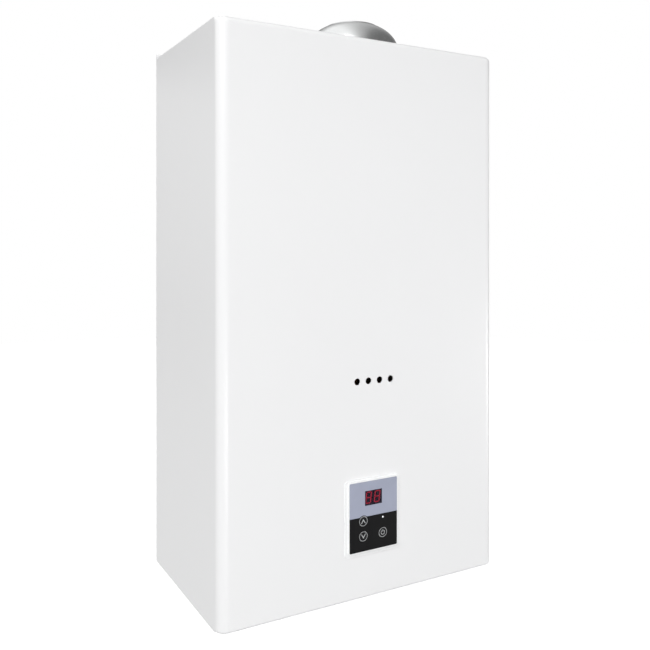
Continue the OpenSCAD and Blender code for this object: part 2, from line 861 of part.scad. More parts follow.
module fan_volute() {
    t = chassis_sheet;
    duct_h = duct_top - fan_z;
    color("lightgray")
        difference() {
            union() {
                at_fan()
                    plate_y([volute_front, volute_rear])
                        scroll(t, duct_h);
                block([fan_x + tongue_u - t - 8, fan_x + fan_end_r + t + 8],
                      [volute_front - 8, volute_rear + 8], [duct_top - t, duct_top]);
            }
            at_fan() {
                plate_y([volute_front + t, volute_rear + cut])
                    scroll(0, duct_h - 20);
                bar_y(0, [volute_front - cut, volute_front + t + cut], 0, bearing_r + 1);
            }
            block([fan_x + tongue_u, fan_x + fan_end_r], [volute_front + t, volute_rear - t],
                  [fan_z + duct_h - 21, duct_top + cut]);
            block([fan_x + tongue_u, fan_x + fan_end_r], [volute_rear - 2 * t, volute_rear + t],
                  [fan_z, fan_z + duct_h - 20]);
            bar_x([fan_x + fan_end_r - cut, fan_x + fan_end_r + t + cut], flue_y, tap_z, tap_ri);
        }
    color("lightgray")
        difference() {
            bar_x([fan_x + fan_end_r + t, fan_x + fan_end_r + t + tap_l], flue_y, tap_z, tap_r);
            bar_x([fan_x + fan_end_r, fan_x + fan_end_r + t + tap_l + cut], flue_y, tap_z, tap_ri);
        }
}

module fan_inlet_plate() {
    t = chassis_sheet;
    duct_h = duct_top - fan_z;
    color("lightgray")
        difference() {
            at_fan() {
                plate_y([volute_rear, volute_rear + t])
                    scroll(t, duct_h - t);
                bar_y(0, [volute_rear - 5, volute_rear + t], 0, eye_r + t);
            }
            at_fan()
                bar_y(0, [volute_rear - 5 - cut, volute_rear + t + cut], 0, eye_r);
        }
}

module fan_impeller() {
    blade_in = impeller_r - 8;
    color("silver")
        at_fan()
            difference() {
                union() {
                    bar_y(0, [impeller_front, impeller_front + 1.2], 0, impeller_r);
                    bar_y(0, [impeller_front, impeller_front + 18], 0, hub_r);
                    translate([0, impeller_rear, 0])
                        rotate([90, 0, 0])
                            difference() {
                                cylinder(h = 1.5, r = impeller_r);
                                translate([0, 0, -cut])
                                    cylinder(h = 1.5 + 2 * cut, r = blade_in);
                            }
                    for (i = [0 : impeller_blades - 1])
                        rotate([0, 360 * i / impeller_blades, 0])
                            plate_y([impeller_front + 0.6, impeller_rear - 0.7])
                                translate([blade_in + 0.3, 0])
                                    rotate(25)
                                        square([7.6, 0.9]);
                }
                bar_y(0, [impeller_front - cut, impeller_front + 18 + cut], 0, shaft_r + run_gap);
            }
}

module fan_shaft() {
    color("silver")
        bar_y(fan_x, [volute_front - motor_l + motor_wall + seat_gap, impeller_front + 20], fan_z, shaft_r);
}

module motor_can() {
    color("darkgray")
        at_fan()
            difference() {
                union() {
                    bar_y(0, [volute_front - motor_l, volute_front], 0, motor_r);
                    bar_y(0, [volute_front - 2, volute_front], 0, motor_r + 7);
                }
                bar_y(0, [volute_front - motor_l + motor_wall, volute_front - motor_wall], 0,
                      motor_r - motor_wall);
                bar_y(0, [volute_front - motor_wall - cut, volute_front + cut], 0, bearing_r);
            }
}

module motor_stator() {
    color("peru")
        at_fan()
            difference() {
                bar_y(0, motor_core, 0, motor_r - motor_wall - 0.1);
                bar_y(0, [volute_front - motor_l, volute_front], 0, rotor_r + 0.6);
            }
}

module motor_bearings() {
    color("goldenrod")
        at_fan()
            for (y = [volute_front - motor_l + motor_wall, volute_front - bearing_l + 1])
                difference() {
                    bar_y(0, [y, y + bearing_l - 1], 0, bearing_r - 0.05);
                    bar_y(0, [y - cut, y + bearing_l + cut], 0, shaft_r + run_gap);
                }
}

module motor_rotor() {
    color("dimgray")
        at_fan()
            difference() {
                bar_y(0, motor_core, 0, rotor_r);
                bar_y(0, [volute_front - motor_l, volute_front], 0, shaft_r + run_gap);
            }
}

// Stack: the flange by which one piece stands on the next
module stack_flange(z) {
    block([-stack_half - flange_w, stack_half + flange_w], [stack_front - flange_w, stack_rear],
          [z, z + chassis_sheet]);
}

module stack_inside(z) {
    wall = chassis_sheet;
    block([-stack_half + wall, stack_half - wall], [stack_front + wall, stack_rear - wall], z);
}

module fume_hood() {
    t = chassis_sheet;
    riser_rear = stack_rear;
    riser_front = volute_rear + t;
    riser_top = fan_z + riser_half - 8;
    color("silver")
        difference() {
            union() {
                block([-stack_half, stack_half], [stack_front, stack_rear], [hood_z, hood_top]);
                stack_flange(hood_z);
                block([fan_x - riser_half, fan_x + riser_half], [riser_front, riser_rear],
                      [hood_top - t, riser_top]);
            }
            stack_inside([hood_z - cut, hood_top - t]);
            block([fan_x - riser_half + t, fan_x + riser_half - t], [riser_front + t, riser_rear - t],
                  [hood_top - 2 * t, riser_top - t]);
            bar_y(fan_x, [riser_front - cut, riser_front + t + cut], fan_z, eye_hole_r);
        }
}

module exchanger_shell() {
    t = chassis_sheet;
    color("peru")
        difference() {
            union() {
                block([-stack_half, stack_half], [stack_front, stack_rear], [shell_z, hood_z]);
                for (z = [shell_z, hood_z - t])
                    stack_flange(z);
            }
            stack_inside([shell_z - cut, hood_z + cut]);
            for (y = tube_row)
                bar_x([-stack_half - cut, stack_half + cut], y, tube_z, tube_r + run_gap);
            block([sight_x - slot_w / 2, sight_x + slot_w / 2], [stack_front - cut, stack_front + t + cut],
                  [sight_z - slot_h / 2, sight_z + slot_h / 2]);
            for (x = electrode_x)
                bar_y(x, [stack_front - cut, stack_front + t + cut], chamber_z, 3.5 + seat_gap);
        }
}

module exchanger_fins() {
    room = stack_w - 2 * chassis_sheet - 16;
    pitch = room / (fin_count - 1);
    color("peru")
        for (i = [0 : fin_count - 1])
            difference() {
                block([-room / 2 + i * pitch - fin_t / 2, -room / 2 + i * pitch + fin_t / 2],
                      [stack_front + chassis_sheet + seat_gap, stack_rear - chassis_sheet - seat_gap],
                      [tube_z - fin_h / 2, tube_z + fin_h / 2]);
                for (y = tube_row)
                    bar_x([-stack_half, stack_half], y, tube_z, tube_r + run_gap);
            }
}

// The row of tubes and the bends that join them outside the shell
module tube_run(r, over) {
    for (i = [0 : tube_count - 1])
        bar_x([-tube_end - (i == tube_count - 1 ? over : 0), tube_end + (i == 0 ? over : 0)],
              tube_row[i], tube_z, r);
    for (i = [0 : tube_count - 2])
        translate([i % 2 == 0 ? -tube_end : tube_end, (tube_row[i] + tube_row[i + 1]) / 2, tube_z])
            rotate([0, 0, i % 2 == 0 ? 90 : -90])
                rotate_extrude(angle = 180)
                    translate([tube_pitch / 2, 0])
                        circle(r);
}

module exchanger_tubes() {
    color("chocolate")
        difference() {
            tube_run(tube_r, 0);
            tube_run(tube_ri, cut);
        }
}

module overheat_thermostat() {
    z = shell_z + shell_h - 18;
    color("black") {
        bar_y(thermostat_x, [stack_front - 6, stack_front], z, 8);
        block([thermostat_x - 16, thermostat_x + 16], [stack_front - 1, stack_front], [z - 3, z + 3]);
        for (x = [thermostat_x - 3, thermostat_x + 3])
            block([x - 1.5, x + 1.5], [stack_front - 13, stack_front - 5], [z - 0.4, z + 0.4]);
    }
}

module burner_frame() {
    t = chassis_sheet;
    color("silver")
        difference() {
            union() {
                block([-stack_half, stack_half], [stack_front, stack_rear], [burner_z, shell_z]);
                stack_flange(shell_z - t);
            }
            stack_inside([burner_z + t, shell_z + cut]);
            for (x = blade_x)
                bar_y(x, [stack_front - cut, stack_front + t + cut], jet_z, jet_hole_r);
        }
}

// Hollow blades, each with a throat at the front and a row of flame ports along its top
module burner_blades() {
    front = stack_front + chassis_sheet + 3;
    rear = stack_rear - chassis_sheet - 3;
    floor_z = burner_z + chassis_sheet;
    top_z = shell_z - 8;
    color("darkgray")
        for (x = blade_x)
            difference() {
                block([x - blade_t / 2, x + blade_t / 2], [front, rear], [floor_z, top_z]);
                bar_y(x, [front - cut, front + 60], jet_z, blade_t / 2 - 1);
                for (y = [front + 6 : 6 : rear - 6])
                    block([x - blade_t / 2 + 1.2, x + blade_t / 2 - 1.2], [y, y + 2], [top_z - 5, top_z + cut]);
            }
}

module sight_window() {
    color([0.9, 0.8, 0.6, 0.6])
        block([sight_x - slot_w / 2 - 4, sight_x + slot_w / 2 + 4], [stack_front - 1.5, stack_front],
              [sight_z - slot_h / 2 - 3, sight_z + slot_h / 2 + 3]);
}

module electrodes() {
    color("ivory")
        for (x = electrode_x) {
            bar_y(x, [stack_front - 14, stack_front + 4], chamber_z, 3.5);
            block([x - 6, x + 6], [stack_front - 1.5, stack_front], [chamber_z - 6, chamber_z + 6]);
            bar_y(x, [stack_front - electrode_l, stack_front + 36], chamber_z, 1);
        }
}

module igniter_box() {
    color("black") {
        block(igniter_x, [-chassis_sheet - igniter_d + 4, -chassis_sheet], igniter_z);
        bar_y(nipple_x, [-chassis_sheet - igniter_d, -chassis_sheet - igniter_d + 5], nipple_z, 4);
    }
}

module ignition_lead() {
    color("firebrick")
        translate([0, 0, z_bot])
            lead(ignition_route, [nipple_x, -chassis_sheet - igniter_d - seat_gap, nipple_z - z_bot],
                 [electrode_x[2], stack_front - electrode_l - seat_gap, chamber_z - z_bot], 1.8);
}

// Gas side
module gas_manifold() {
    t = 2;
    front = manifold_y - manifold_t / 2;
    rear = manifold_y + manifold_t / 2;
    z = [jet_z - manifold_h / 2, jet_z + manifold_h / 2];
    color("silver")
        difference() {
            union() {
                block([-manifold_half, manifold_half], [front, rear], z);
                for (x = [-manifold_half, manifold_half - 8])
                    block([x, x + 8], [rear - cut, stack_front], z);
                gas_riser(riser_r);
            }
            block([-manifold_half + t, manifold_half - t], [front + t, rear - t], [z[0] + t, z[1] - t]);
            gas_riser(riser_r - 1.2);
            for (x = blade_x)
                bar_y(x, [rear - t - cut, rear + cut], jet_z, jet_r - 1 + run_gap);
        }
}

module gas_riser(r) {
    over = r < riser_r ? cut : 0;
    bar_z(gas_x, manifold_y, [valve_line + riser_bend, jet_z - manifold_h / 2 + 1 + 2 * over], r);
    quarter_yz(gas_x, manifold_y + riser_bend, valve_line + riser_bend, 180, riser_bend, r);
    bar_y(gas_x, [manifold_y + riser_bend, valve_front + over], valve_line, r);
}

module gas_jets() {
    rear = manifold_y + manifold_t / 2;
    color("goldenrod")
        for (x = blade_x)
            difference() {
                union() {
                    bar_y(x, [rear, stack_front + 3], jet_z, jet_r);
                    bar_y(x, [rear - 1.5, rear + 1], jet_z, jet_r - 1);
                }
                bar_y(x, [rear - 2, stack_front + 4], jet_z, 0.8);
            }
}

module gas_valve() {
    color("darkgray")
        difference() {
            block([gas_x - valve_w / 2, valve_right], [valve_front, valve_rear], [valve_z, valve_z + valve_h]);
            bar_z(gas_x, port_y, [valve_z - cut, valve_line], port_ri);
            bar_y(gas_x, [valve_front - cut, port_y], valve_line, riser_r - 1.5);
            for (y = plunger_y) {
                bar_x([valve_right - 16, valve_right + cut], y, valve_line, plunger_r + 5);
                bar_x([gas_x, valve_right], y, valve_line, plunger_r - 1);
            }
        }
}

module solenoid_coils() {
    color("navy")
        for (y = plunger_y)
            difference() {
                union() {
                    bar_x([valve_right, valve_right + coil_l], y, valve_line, coil_r);
                    block([valve_right, valve_right + 2], [y - coil_r - 1, y + coil_r + 1],
                          [valve_line - coil_r - 1, valve_line + coil_r + 1]);
                }
                bar_x([valve_right - cut, valve_right + coil_l - 4], y, valve_line, plunger_r + run_gap);
            }
}

module plunger(y) {
    seat = valve_right - 16 + seat_gap;
    color("silver") {
        bar_x([seat, seat + 3], y, valve_line, plunger_r + 3);
        bar_x([seat + 1, valve_right + coil_l - 4 - plunger_travel - 1], y, valve_line, plunger_r);
    }
}

// A threaded port, its neck through the bottom panel and the flange that it stands on
module port(x) {
    bar_z(x, port_y, [port_z, panel_bot - port_neck_drop / 2], port_r);
    bar_z(x, port_y, [panel_bot - port_neck_drop, panel_floor + 1], port_neck_r);
    bar_z(x, port_y, [panel_floor, panel_floor + port_flange_t], port_flange_r);
}

module gas_inlet() {
    color("goldenrod")
        difference() {
            union() {
                port(gas_x);
                bar_z(gas_x, port_y, [panel_floor, valve_z], port_neck_r);
            }
            bar_z(gas_x, port_y, [port_z - cut, valve_z + cut], port_ri);
        }
}

// Water side
module water_inlet() {
    color("goldenrod")
        difference() {
            union() {
                port(port_x);
                bar_z(port_x, port_y, [panel_floor, inlet_top], port_r + 1.5);
                bar_x([drain_x, port_x], port_y, drain_z, 6);
                bar_z(drain_x, port_y, [z_bot - 5, drain_z + 8], drain_r);
            }
            bar_z(port_x, port_y, [port_z - cut, inlet_top + cut], port_ri);
            bar_x([drain_x, port_x], port_y, drain_z, 3);
            bar_z(drain_x, port_y, [z_bot - 5 - cut, drain_z + 3], spindle_r + run_gap);
        }
}

module drain_knob() {
    knob_top = z_bot - 5 - seat_gap;
    color("dimgray")
        translate([drain_x, port_y, 0]) {
            bar_z(0, 0, [knob_top - 12, drain_z - 3.5], spindle_r);
            bar_z(0, 0, [knob_top - 12, knob_top], 9);
            block([-13, 13], [-2, 2], [knob_top - 12, knob_top - 1]);
        }
}

module flow_sensor() {
    spider_t = 2;
    bore = sensor_r - 4;
    color("darkgreen") {
        difference() {
            union() {
                bar_z(port_x, port_y, [inlet_top, sensor_top], sensor_r);
                block([port_x - 7, port_x + 7], [port_y - sensor_r - 8, port_y],
                      [inlet_top + 12, sensor_top - 12]);
            }
            bar_z(port_x, port_y, [inlet_top + 3, sensor_top - 3], bore);
            bar_z(port_x, port_y, [inlet_top - cut, sensor_top + cut], port_ri);
        }
        for (z = [inlet_top + 3, sensor_top - 3 - spider_t])
            difference() {
                union() {
                    bar_z(port_x, port_y, [z, z + spider_t], 3);
                    block([port_x - bore - 1, port_x + bore + 1], [port_y - 1, port_y + 1], [z, z + spider_t]);
                }
                bar_z(port_x, port_y, [z - cut, z + spider_t + cut], 1.2 + run_gap);
            }
    }
}

module flow_rotor() {
    low = inlet_top + 5 + seat_gap;
    high = sensor_top - 5 - seat_gap;
    color("white")
        translate([port_x, port_y, 0]) {
            bar_z(0, 0, [inlet_top + 3.2, sensor_top - 3.2], 1.2);
            bar_z(0, 0, [low, high], 3.5);
            for (a = [0 : 60 : 300])
                rotate([0, 0, a])
                    block([0, sensor_r - 4 - 0.8], [-0.7, 0.7], [low + 3, high - 3]);
        }
}

module cold_route(r, over) {
    top = tube_z;
    bar_z(port_x, port_y, [sensor_top - over, top - bend_r], r);
    quarter_xz(port_x, port_y, top, bend_r, r);
    bar_x([tube_end - over, port_x - bend_r], port_y, top, r);
}

module cold_pipe() {
    color("chocolate")
        difference() {
            cold_route(tube_r, 0);
            cold_route(tube_ri, cut);
        }
}

// The hot pipe leaves the last tube on the left, runs down and back to the port's line
module hot_route(r, over) {
    far_y = tube_row[tube_count - 1];
    low_z = outlet_top + 46;
    bar_x([bend_r - port_x, over - tube_end], far_y, tube_z, r);
    translate([bend_r - port_x, far_y, tube_z - bend_r])
        rotate([90, 0, 0])
            rotate([0, 0, 90])
                rotate_extrude(angle = 90)
                    translate([bend_r, 0])
                        circle(r);
    bar_z(-port_x, far_y, [low_z + bend_r, tube_z - bend_r], r);
    quarter_yz(-port_x, far_y + bend_r, low_z + bend_r, 180, bend_r, r);
    bar_y(-port_x, [far_y + bend_r, port_y - bend_r], low_z, r);
    quarter_yz(-port_x, port_y - bend_r, low_z - bend_r, 0, bend_r, r);
    bar_z(-port_x, port_y, [outlet_top - over, low_z - bend_r], r);
}

module hot_pipe() {
    color("chocolate")
        difference() {
            hot_route(tube_r, 0);
            hot_route(tube_ri, cut);
        }
}

module hot_outlet() {
    color("goldenrod")
        difference() {
            union() {
                port(-port_x);
                bar_z(-port_x, port_y, [panel_floor, outlet_top], port_r + 1.5);
            }
            bar_z(-port_x, port_y, [port_z - cut, outlet_top + cut], port_ri);
            bar_y(-port_x, [port_y - port_r - 2, port_y], outlet_top - 12, 3 + run_gap);
        }
}

module outlet_sensor() {
    color("silver") {
        bar_y(-port_x, [port_y - port_r - 10, port_y - port_ri + 3], outlet_top - 12, 3);
        bar_y(-port_x, [port_y - port_r - 8, port_y - port_r - 3], outlet_top - 12, 5);
    }
}

// Electronics
module control_box() {
    x = [control_x - control_w / 2, control_x + control_w / 2];
    z = [panel_floor, panel_floor + control_h];
    w = control_wall;
    color("darkslategray") {
        difference() {
            block(x, [control_front, control_rear], z);
            block([x[0] + w, x[1] - w], [control_front - cut, control_rear - w], [z[0] + w, z[1] - w]);
        }
        for (side = [-1, 1], y = [control_front + 12, control_rear - 12])
            bar_z(control_x + side * (control_w / 2 - 10), y, [z[0] + w / 2, z[0] + 10], 3);
    }
}

module control_lid() {
    w = control_wall;
    half_w = control_w / 2;
    color("black")
        difference() {
            union() {
                block([control_x - half_w, control_x + half_w], [control_front - w, control_front],
                      [panel_floor, panel_floor + control_h]);
                block([control_x - half_w + w + seat_gap, control_x + half_w - w - seat_gap],
                      [control_front - w / 2, control_front + 4],
                      [panel_floor + w + seat_gap, panel_floor + control_h - w - seat_gap]);
            }
            block([control_x - half_w + 2 * w, control_x + half_w - 2 * w], [control_front, control_front + 5],
                  [panel_floor + 2 * w, panel_floor + control_h - 2 * w]);
        }
}

module control_board() {
    z = panel_floor + 10;
    y = [control_front + 6, control_rear - control_wall - seat_gap];
    half = control_w / 2 - control_wall - seat_gap;
    color("seagreen") {
        block([control_x - half, control_x + half], y, [z, z + board_t]);
        block([control_x - 20, control_x + 14], [y[1] - 50, y[1] - 14], [z + board_t / 2, z + 34]);
        for (i = [0 : 2])
            block([control_x - 26 + 18 * i, control_x - 14 + 18 * i], [y[0] + 10, y[0] + 26],
                  [z + board_t / 2, z + 18]);
        bar_z(control_x + 20, y[0] + 45, [z + board_t / 2, z + 24], 8);
    }
}

module cable_gland() {
    color("black")
        difference() {
            union() {
                bar_z(gland_x, gland_y, [panel_bot - 10, panel_floor + 10], gland_nut_r - 3);
                bar_z(gland_x, gland_y, [panel_bot - 4, panel_bot], gland_nut_r);
                translate([gland_x, gland_y, panel_floor])
                    cylinder(h = 5, r = gland_nut_r, $fn = 6);
            }
            bar_z(gland_x, gland_y, [panel_bot - 10 - cut, panel_floor + 10 + cut], gland_r);
        }
}

module air_pressure_switch() {
    color("black") {
        bar_y(switch_x, [-chassis_sheet - switch_d, -chassis_sheet], switch_z, switch_r);
        bar_y(switch_x, [-chassis_sheet - switch_d - switch_nose, -chassis_sheet - switch_d + 1], switch_z, 3);
    }
}

module pressure_hose() {
    color("dimgray")
        translate([0, 0, z_bot])
            lead(hose_route, [switch_x, -chassis_sheet - switch_d - switch_nose - seat_gap, switch_z - z_bot],
                 [fan_x + fan_end_r + chassis_sheet + tap_l + seat_gap, flue_y, tap_z - z_bot], 3);
}

module display_lead() {
    y = board_y + board_t + 1 + seat_gap;
    color("gray") {
        block([header[0] - 5 + seat_gap, header[0] + 5 - seat_gap], [y, y + 8],
              [header[1] - 3 + seat_gap, header[1] + 3 - seat_gap]);
        translate([0, 0, z_bot])
            lead(display_route, [header[0], y + 7, header[1] - z_bot],
                 [control_x + 19, control_front - control_wall - seat_gap, 57], 2);
    }
}

front_cover();
panel_bezel();
panel_overlay();
display_window();
display_digits();
display_module();
display_board();
status_led();
key_switches();
key(up_key);  // key_up
key(down_key);  // key_down
key(power_key);  // key_power
back_plate();
top_panel();
bottom_panel();
casing_screws();
stack_brackets();
flue_collar();
collar_gasket();
fan_volute();
fan_inlet_plate();
motor_can();
motor_stator();
motor_bearings();
motor_rotor();
fan_shaft();
fan_impeller();
fume_hood();
exchanger_shell();
exchanger_fins();
exchanger_tubes();
overheat_thermostat();
burner_frame();
burner_blades();
sight_window();
electrodes();
igniter_box();
ignition_lead();
gas_manifold();
gas_jets();
gas_valve();
solenoid_coils();
plunger(plunger_y[0]);  // safety_plunger
plunger(plunger_y[1]);  // main_plunger
gas_inlet();
water_inlet();
drain_knob();
flow_sensor();
flow_rotor();
cold_pipe();
hot_pipe();
hot_outlet();
outlet_sensor();
control_box();
control_lid();
control_board();
cable_gland();
air_pressure_switch();
pressure_hose();
display_lead();
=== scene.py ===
"""Tankless gas water heater: camera, materials, marks on the keys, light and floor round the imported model."""
import bpy
import bmesh
import json
import math
from mathutils import Matrix, Vector


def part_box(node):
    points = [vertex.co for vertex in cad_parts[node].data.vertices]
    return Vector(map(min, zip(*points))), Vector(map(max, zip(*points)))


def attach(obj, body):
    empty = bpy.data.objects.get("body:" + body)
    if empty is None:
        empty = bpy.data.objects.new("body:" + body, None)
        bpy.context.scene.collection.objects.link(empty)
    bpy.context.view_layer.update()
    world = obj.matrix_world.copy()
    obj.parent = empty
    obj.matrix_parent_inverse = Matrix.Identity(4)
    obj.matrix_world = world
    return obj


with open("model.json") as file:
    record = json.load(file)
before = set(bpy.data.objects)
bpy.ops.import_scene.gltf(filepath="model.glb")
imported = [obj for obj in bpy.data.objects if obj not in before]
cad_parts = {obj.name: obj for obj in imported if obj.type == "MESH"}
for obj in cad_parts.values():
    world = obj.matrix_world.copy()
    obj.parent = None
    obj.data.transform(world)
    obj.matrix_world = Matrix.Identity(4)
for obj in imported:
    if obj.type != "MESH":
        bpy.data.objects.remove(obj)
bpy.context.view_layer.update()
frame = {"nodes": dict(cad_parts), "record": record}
scene = bpy.context.scene


# Camera
# It is level, so upright edges stay upright; the shift only puts the horizon on its row.
IMAGE_PX = 650.0
FOCAL_PX = 755.7
HORIZON_ROW_PX = 246.1
SENSOR_MM = 36.0
CAMERA_YAW = math.radians(29.253)
CAMERA_PLACE = (-0.43127, -0.87252, 0.07503)
CLIP_START = 0.02
CLIP_END = 50.0

forward = Vector((math.sin(CAMERA_YAW), math.cos(CAMERA_YAW), 0.0))
right = Vector((math.cos(CAMERA_YAW), -math.sin(CAMERA_YAW), 0.0))
up = right.cross(forward)
camera_data = bpy.data.cameras.new("camera")
camera_data.sensor_width = SENSOR_MM
camera_data.lens = SENSOR_MM * FOCAL_PX / IMAGE_PX
camera_data.shift_y = (HORIZON_ROW_PX - IMAGE_PX / 2) / IMAGE_PX
camera_data.clip_start = CLIP_START
camera_data.clip_end = CLIP_END
camera = bpy.data.objects.new("camera", camera_data)
aim = Matrix((right, up, -forward)).transposed().to_4x4()
camera.matrix_world = Matrix.Translation(CAMERA_PLACE) @ aim
scene.collection.objects.link(camera)
scene.camera = camera


# Places from the frame that materials, marks and light are set by
def middle(node):
    low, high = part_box(node)
    return (low + high) / 2


overlay_mid = middle("panel_overlay")
up_mid = middle("key_up")
lamp_mid = middle("status_led")
window_mid = middle("display_window")
window_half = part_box("display_window")[1] - window_mid
flue_mid = middle("flue_collar")


# Material helpers
# A Mix node's sockets for colour are known by number only.
MIX_FACTOR = 0
MIX_FIRST = 6
MIX_SECOND = 7
MIX_RESULT = 2


class Paint:
    """A Principled material with short calls for its nodes. Lengths are in metres, noise scales per metre."""

    def __init__(self, name, color, rough, metallic=0.0, **fixed):
        self.mat = bpy.data.materials.new(name)
        self.mat.use_nodes = True
        self.tree = self.mat.node_tree
        self.bsdf = self.tree.nodes["Principled BSDF"]
        self.color = tuple(color[:3])
        self.put("Base Color", (*self.color, 1.0))
        self.put("Roughness", rough)
        self.put("Metallic", metallic)
        for key, value in fixed.items():
            self.put(key.replace("_", " "), value)
        self.coord = self.add("ShaderNodeTexCoord").outputs["Object"]
        self.mat.diffuse_color = (*self.color, 1.0)

    def add(self, kind, **props):
        node = self.tree.nodes.new(kind)
        for key, value in props.items():
            setattr(node, key, value)
        return node

    def link(self, output, socket):
        self.tree.links.new(output, socket)

    def put(self, socket, value):
        """Set one of the shader's own sockets."""
        self.bsdf.inputs[socket].default_value = value

    def to(self, socket, output):
        """Link an output to one of the shader's own sockets."""
        self.link(output, self.bsdf.inputs[socket])

    def feed(self, socket, value):
        """Link an output to a node's socket, or set a plain value there."""
        if isinstance(value, bpy.types.NodeSocket):
            self.link(value, socket)
        else:
            socket.default_value = value

    def stretched(self, scale):
        node = self.add("ShaderNodeMapping")
        node.inputs["Scale"].default_value = scale
        self.link(self.coord, node.inputs["Vector"])
        return node.outputs["Vector"]

    def noise(self, scale, detail=3.0, rough=0.5, vector=None, distortion=0.0):
        node = self.add("ShaderNodeTexNoise")
        node.inputs["Scale"].default_value = scale
        node.inputs["Detail"].default_value = detail
        node.inputs["Roughness"].default_value = rough
        node.inputs["Distortion"].default_value = distortion
        self.link(vector or self.coord, node.inputs["Vector"])
        return node.outputs["Fac"]

    def cells(self, scale, vector=None, feature="F1", output="Color"):
        node = self.add("ShaderNodeTexVoronoi", feature=feature)
        node.inputs["Scale"].default_value = scale
        self.link(vector or self.coord, node.inputs["Vector"])
        return node.outputs[output]

    def span(self, value, low, high, start=0.0, end=1.0):
        """A value from start to end is taken to low to high."""
        node = self.add("ShaderNodeMapRange")
        node.inputs["From Min"].default_value = start
        node.inputs["From Max"].default_value = end
        node.inputs["To Min"].default_value = low
        node.inputs["To Max"].default_value = high
        self.link(value, node.inputs["Value"])
        return node.outputs["Result"]

    def spread(self, noise, low=0.0, high=1.0):
        """Noise lies mostly between 0.3 and 0.7; that stretch is taken to low to high."""
        return self.span(noise, low, high, 0.3, 0.7)

    def calc(self, operation, first, second=None, clamp=False):
        node = self.add("ShaderNodeMath", operation=operation, use_clamp=clamp)
        self.feed(node.inputs[0], first)
        if second is not None:
            self.feed(node.inputs[1], second)
        return node.outputs[0]

    def mixture(self, first, first_share, second):
        """Two patterns added, the first by its share and the second by the rest."""
        first_part = self.calc("MULTIPLY", first, first_share)
        second_part = self.calc("MULTIPLY", second, round(1.0 - first_share, 3))
        return self.calc("ADD", first_part, second_part)

    def axis(self, name):
        """One of the coordinates X, Y and Z."""
        node = self.add("ShaderNodeSeparateXYZ")
        self.link(self.coord, node.inputs[0])
        return node.outputs[name]

    def vector(self, **parts):
        """A vector from outputs for some of X, Y and Z."""
        node = self.add("ShaderNodeCombineXYZ")
        for axis, output in parts.items():
            self.link(output, node.inputs[axis])
        return node.outputs[0]

    def radius(self, axis, *centre):
        """Distance from a line along axis; centre gives the line's place on the two other axes."""
        squares = []
        for name, place in zip("XYZ".replace(axis, ""), centre):
            offset = self.calc("SUBTRACT", self.axis(name), place)
            squares.append(self.calc("MULTIPLY", offset, offset))
        return self.calc("SQRT", self.calc("ADD", *squares))

    def blend(self, factor, first, second):
        """A colour between two, each an output or a plain colour, by a factor from 0 to 1."""
        node = self.add("ShaderNodeMix", data_type="RGBA")
        self.link(factor, node.inputs[MIX_FACTOR])
        for number, color in ((MIX_FIRST, first), (MIX_SECOND, second)):
            plain = isinstance(color, (tuple, list))
            self.feed(node.inputs[number], (*color[:3], 1.0) if plain else color)
        return node.outputs[MIX_RESULT]

    def shades(self, factor, dark, light):
        """Base colour between two shades of the material's own colour, by a factor from 0 to 1."""
        first, second = (tuple(min(1.0, part * shade) for part in self.color) for shade in (dark, light))
        color = self.blend(factor, first, second)
        self.to("Base Color", color)
        return color

    def bump(self, height, strength, distance, under=None):
        node = self.add("ShaderNodeBump")
        node.inputs["Strength"].default_value = strength
        node.inputs["Distance"].default_value = distance
        self.link(height, node.inputs["Height"])
        if under is not None:
            self.link(under, node.inputs["Normal"])
        self.to("Normal", node.outputs["Normal"])
        return node.outputs["Normal"]


ROUGH_SWING = 0.05
slot_color = {row["slot"]: row["base_color"] for row in frame["record"]["materials"]}
paints = {}


def paint(name, rough, metallic=0.0, color=None, **fixed):
    """A material in the record's colour for its slot, unless another colour is given."""
    paints[name] = Paint(name, color or slot_color[name], rough, metallic, **fixed)
    return paints[name]


def simple(name, rough, metallic=0.0, cloud=9.0, tone=(0.94, 1.04), grain=420.0, bump=(0.12, 0.0002),
           **fixed):
    """Large soft colour variation, and a fine grain in roughness and bump (its strength and distance)."""
    p = paint(name, rough, metallic, **fixed)
    p.shades(p.spread(p.noise(cloud, detail=4.0)), *tone)
    fine = p.noise(grain, rough=0.6)
    p.to("Roughness", p.spread(fine, rough - ROUGH_SWING, rough + ROUGH_SWING))
    p.bump(fine, *bump)


# Enamel and plastics
PRINT_EDGE_DROP = 0.00045
KEY_DISC_R = 0.0060
FILM_ROUGH = 0.34
FILM_SPECULAR = 0.07
WINDOW_BORDER = 0.0008
WINDOW_CLEAR_ALPHA = 0.5
LAMP_BRIGHT_R = 0.0004
LAMP_DARK_R = 0.0009


def white_enamel():
    p = paint("white_enamel", rough=0.3, color=(0.936, 0.938, 0.943))
    p.shades(p.spread(p.noise(5.0)), 0.955, 0.963)
    p.to("Roughness", p.spread(p.noise(700.0, detail=2.0), 0.28, 0.32))
    p.bump(p.noise(900.0, detail=2.0, rough=0.45), strength=0.03, distance=0.00005)


def white_plastic():
    p = paint("white_plastic", rough=0.3)
    p.shades(p.spread(p.noise(30.0, detail=2.0)), 0.985, 1.0)
    p.to("Roughness", p.spread(p.noise(600.0, rough=0.6), 0.24, 0.36))
    p.bump(p.noise(1400.0, detail=2.0), strength=0.05, distance=0.0001)


def satin_film(p):
    """The surface that the printed film and the key caps share."""
    fine = p.noise(2600.0, rough=0.6)
    p.to("Roughness", p.spread(fine, 0.27, 0.37))
    p.bump(fine, strength=0.10, distance=0.00006)


